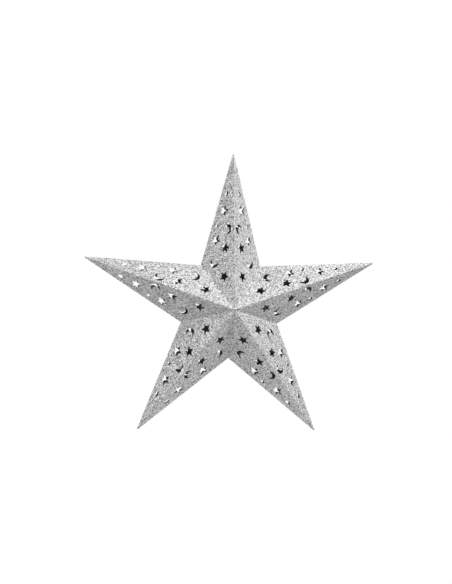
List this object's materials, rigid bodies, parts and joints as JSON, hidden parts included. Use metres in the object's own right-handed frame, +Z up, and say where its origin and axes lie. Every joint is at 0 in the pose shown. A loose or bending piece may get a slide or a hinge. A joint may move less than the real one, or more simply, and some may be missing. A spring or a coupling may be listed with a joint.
{
  "type": "folding paper star lantern",
  "caption": "Hanging folding star lantern of silver glitter card: deep pyramid arms with ridges and valleys, punched with small stars and crescents, that folds flat.",
  "frame": {"origin": "the tip of the top arm, where the star hangs", "axes": "+Z up, +X to the right seen from the front, the front faces -Y"},
  "size_m": [0.5682, 0.1604, 0.5403],
  "materials": {
    "glitter_card": "silver glitter",
    "card_flap": "plain matte",
    "eyelet_metal": "nickel"
  },
  "bodies": {
    "top_arm_front_left": {"top_arm_front_left_panel": "glitter_card", "top_arm_front_valley_flap": "card_flap"},
    "top_arm_front_right": {"top_arm_front_right_panel": "glitter_card"},
    "top_arm_back_left": {"top_arm_back_left_panel": "glitter_card", "top_arm_back_valley_flap": "card_flap", "top_arm_rim_flap": "card_flap"},
    "top_arm_back_right": {"top_arm_back_right_panel": "glitter_card"},
    "right_arm_front_left": {"right_arm_front_left_panel": "glitter_card", "right_arm_front_valley_flap": "card_flap"},
    "right_arm_front_right": {"right_arm_front_right_panel": "glitter_card"},
    "right_arm_back_left": {"right_arm_back_left_panel": "glitter_card", "right_arm_back_valley_flap": "card_flap", "right_arm_rim_flap": "card_flap"},
    "right_arm_back_right": {"right_arm_back_right_panel": "glitter_card"},
    "lower_right_arm_front_left": {"lower_right_arm_front_left_panel": "glitter_card", "lower_right_arm_front_valley_flap": "card_flap"},
    "lower_right_arm_front_right": {"lower_right_arm_front_right_panel": "glitter_card", "lower_right_arm_front_eyelets": "eyelet_metal"},
    "lower_right_arm_back_left": {"lower_right_arm_back_left_panel": "glitter_card", "lower_right_arm_back_valley_flap": "card_flap", "lower_right_arm_rim_flap": "card_flap"},
    "lower_right_arm_back_right": {"lower_right_arm_back_right_panel": "glitter_card", "lower_right_arm_back_eyelets": "eyelet_metal"},
    "lower_left_arm_front_left": {"lower_left_arm_front_left_panel": "glitter_card", "lower_left_arm_front_eyelets": "eyelet_metal"},
    "lower_left_arm_front_right": {"lower_left_arm_front_right_panel": "glitter_card"},
    "lower_left_arm_back_left": {"lower_left_arm_back_left_panel": "glitter_card", "lower_left_arm_back_eyelets": "eyelet_metal", "lower_left_arm_rim_flap": "card_flap"},
    "lower_left_arm_back_right": {"lower_left_arm_back_right_panel": "glitter_card"},
    "left_arm_front_left": {"left_arm_front_left_panel": "glitter_card", "left_arm_front_valley_flap": "card_flap"},
    "left_arm_front_right": {"left_arm_front_right_panel": "glitter_card"},
    "left_arm_back_left": {"left_arm_back_left_panel": "glitter_card", "left_arm_back_valley_flap": "card_flap", "left_arm_rim_flap": "card_flap"},
    "left_arm_back_right": {"left_arm_back_right_panel": "glitter_card"}
  },
  "joints": [
    {"name": "top_arm_front_ridge", "type": "hinge", "parent": "top_arm_front_left", "child": "top_arm_front_right", "pos_m": [0, -0.04, -0.15], "axis": [0, 0.2577, 0.9662], "range_deg": [0, 89.21]},
    {"name": "front_valley_top_to_right", "type": "hinge", "parent": "top_arm_front_right", "child": "right_arm_front_left", "pos_m": [0.02926, -0.04035, -0.25973], "axis": [-0.4572, -0.6285, -0.6292], "range_deg": [0, 121.37]},
    {"name": "right_arm_front_ridge", "type": "hinge", "parent": "right_arm_front_left", "child": "right_arm_front_right", "pos_m": [0.14266, -0.04, -0.25365], "axis": [0.9189, 0.2577, 0.2986], "range_deg": [0, 89.22]},
    {"name": "front_valley_right_to_lower_right", "type": "hinge", "parent": "right_arm_front_right", "child": "lower_right_arm_front_left", "pos_m": [0.04735, -0.04035, -0.31538], "axis": [-0.7397, -0.6285, 0.2404], "range_deg": [0, 121.37]},
    {"name": "lower_right_arm_front_ridge", "type": "hinge", "parent": "lower_right_arm_front_left", "child": "lower_right_arm_front_right", "pos_m": [0.08817, -0.04, -0.42135], "axis": [0.5679, 0.2577, -0.7817], "range_deg": [0, 89.22]},
    {"name": "front_valley_top_to_left", "type": "hinge", "parent": "top_arm_front_left", "child": "left_arm_front_right", "pos_m": [-0.02926, -0.04035, -0.25973], "axis": [-0.4572, 0.6285, 0.6292], "range_deg": [0, 121.37]},
    {"name": "left_arm_front_ridge", "type": "hinge", "parent": "left_arm_front_right", "child": "left_arm_front_left", "pos_m": [-0.14266, -0.04, -0.25365], "axis": [0.9189, -0.2577, -0.2986], "range_deg": [0, 89.22]},
    {"name": "front_valley_left_to_lower_left", "type": "hinge", "parent": "left_arm_front_left", "child": "lower_left_arm_front_right", "pos_m": [-0.04735, -0.04035, -0.31538], "axis": [-0.7397, 0.6285, -0.2404], "range_deg": [0, 121.37]},
    {"name": "lower_left_arm_front_ridge", "type": "hinge", "parent": "lower_left_arm_front_right", "child": "lower_left_arm_front_left", "pos_m": [-0.08817, -0.04, -0.42135], "axis": [0.5679, -0.2577, 0.7817], "range_deg": [0, 89.22]},
    {"name": "top_arm_back_ridge", "type": "hinge", "parent": "top_arm_back_left", "child": "top_arm_back_right", "pos_m": [0, 0.04, -0.15], "axis": [0, 0.2577, -0.9662], "range_deg": [0, 89.22]},
    {"name": "back_valley_top_to_right", "type": "hinge", "parent": "top_arm_back_right", "child": "right_arm_back_left", "pos_m": [0.02926, 0.04035, -0.25973], "axis": [0.4572, -0.6285, 0.6292], "range_deg": [0, 121.37]},
    {"name": "right_arm_back_ridge", "type": "hinge", "parent": "right_arm_back_left", "child": "right_arm_back_right", "pos_m": [0.14266, 0.04, -0.25365], "axis": [-0.9189, 0.2577, -0.2986], "range_deg": [0, 89.22]},
    {"name": "back_valley_right_to_lower_right", "type": "hinge", "parent": "right_arm_back_right", "child": "lower_right_arm_back_left", "pos_m": [0.04735, 0.04035, -0.31538], "axis": [0.7397, -0.6285, -0.2404], "range_deg": [0, 121.37]},
    {"name": "lower_right_arm_back_ridge", "type": "hinge", "parent": "lower_right_arm_back_left", "child": "lower_right_arm_back_right", "pos_m": [0.08817, 0.04, -0.42135], "axis": [-0.5679, 0.2577, 0.7817], "range_deg": [0, 89.22]},
    {"name": "back_valley_top_to_left", "type": "hinge", "parent": "top_arm_back_left", "child": "left_arm_back_right", "pos_m": [-0.02926, 0.04035, -0.25973], "axis": [0.4572, 0.6285, -0.6292], "range_deg": [0, 121.37]},
    {"name": "left_arm_back_ridge", "type": "hinge", "parent": "left_arm_back_right", "child": "left_arm_back_left", "pos_m": [-0.14266, 0.04, -0.25365], "axis": [-0.9189, -0.2577, 0.2986], "range_deg": [0, 89.22]},
    {"name": "back_valley_left_to_lower_left", "type": "hinge", "parent": "left_arm_back_left", "child": "lower_left_arm_back_right", "pos_m": [-0.04735, 0.04035, -0.31538], "axis": [0.7397, 0.6285, 0.2404], "range_deg": [0, 121.37]},
    {"name": "lower_left_arm_back_ridge", "type": "hinge", "parent": "lower_left_arm_back_right", "child": "lower_left_arm_back_left", "pos_m": [-0.08817, 0.04, -0.42135], "axis": [-0.5679, -0.2577, -0.7817], "range_deg": [0, 89.22]},
    {"name": "top_arm_rim", "type": "hinge", "parent": "top_arm_front_left", "child": "top_arm_back_left", "pos_m": [-0.02963, 0, -0.10981], "axis": [0.2558, 0, 0.9667], "range_deg": [0, 85.46]}
  ],
  "couplings": [
    {"joint": "front_valley_top_to_right", "follows": "top_arm_front_ridge", "ratio": 1.3604},
    {"joint": "right_arm_front_ridge", "follows": "top_arm_front_ridge", "ratio": 1},
    {"joint": "front_valley_right_to_lower_right", "follows": "top_arm_front_ridge", "ratio": 1.3604},
    {"joint": "lower_right_arm_front_ridge", "follows": "top_arm_front_ridge", "ratio": 1},
    {"joint": "front_valley_top_to_left", "follows": "top_arm_front_ridge", "ratio": 1.3604},
    {"joint": "left_arm_front_ridge", "follows": "top_arm_front_ridge", "ratio": 1},
    {"joint": "front_valley_left_to_lower_left", "follows": "top_arm_front_ridge", "ratio": 1.3604},
    {"joint": "lower_left_arm_front_ridge", "follows": "top_arm_front_ridge", "ratio": 1},
    {"joint": "top_arm_back_ridge", "follows": "top_arm_front_ridge", "ratio": 1},
    {"joint": "back_valley_top_to_right", "follows": "top_arm_front_ridge", "ratio": 1.3604},
    {"joint": "right_arm_back_ridge", "follows": "top_arm_front_ridge", "ratio": 1},
    {"joint": "back_valley_right_to_lower_right", "follows": "top_arm_front_ridge", "ratio": 1.3604},
    {"joint": "lower_right_arm_back_ridge", "follows": "top_arm_front_ridge", "ratio": 1},
    {"joint": "back_valley_top_to_left", "follows": "top_arm_front_ridge", "ratio": 1.3604},
    {"joint": "left_arm_back_ridge", "follows": "top_arm_front_ridge", "ratio": 1},
    {"joint": "back_valley_left_to_lower_left", "follows": "top_arm_front_ridge", "ratio": 1.3604},
    {"joint": "lower_left_arm_back_ridge", "follows": "top_arm_front_ridge", "ratio": 1},
    {"joint": "top_arm_rim", "follows": "top_arm_front_ridge", "ratio": 0.95793}
  ]
}
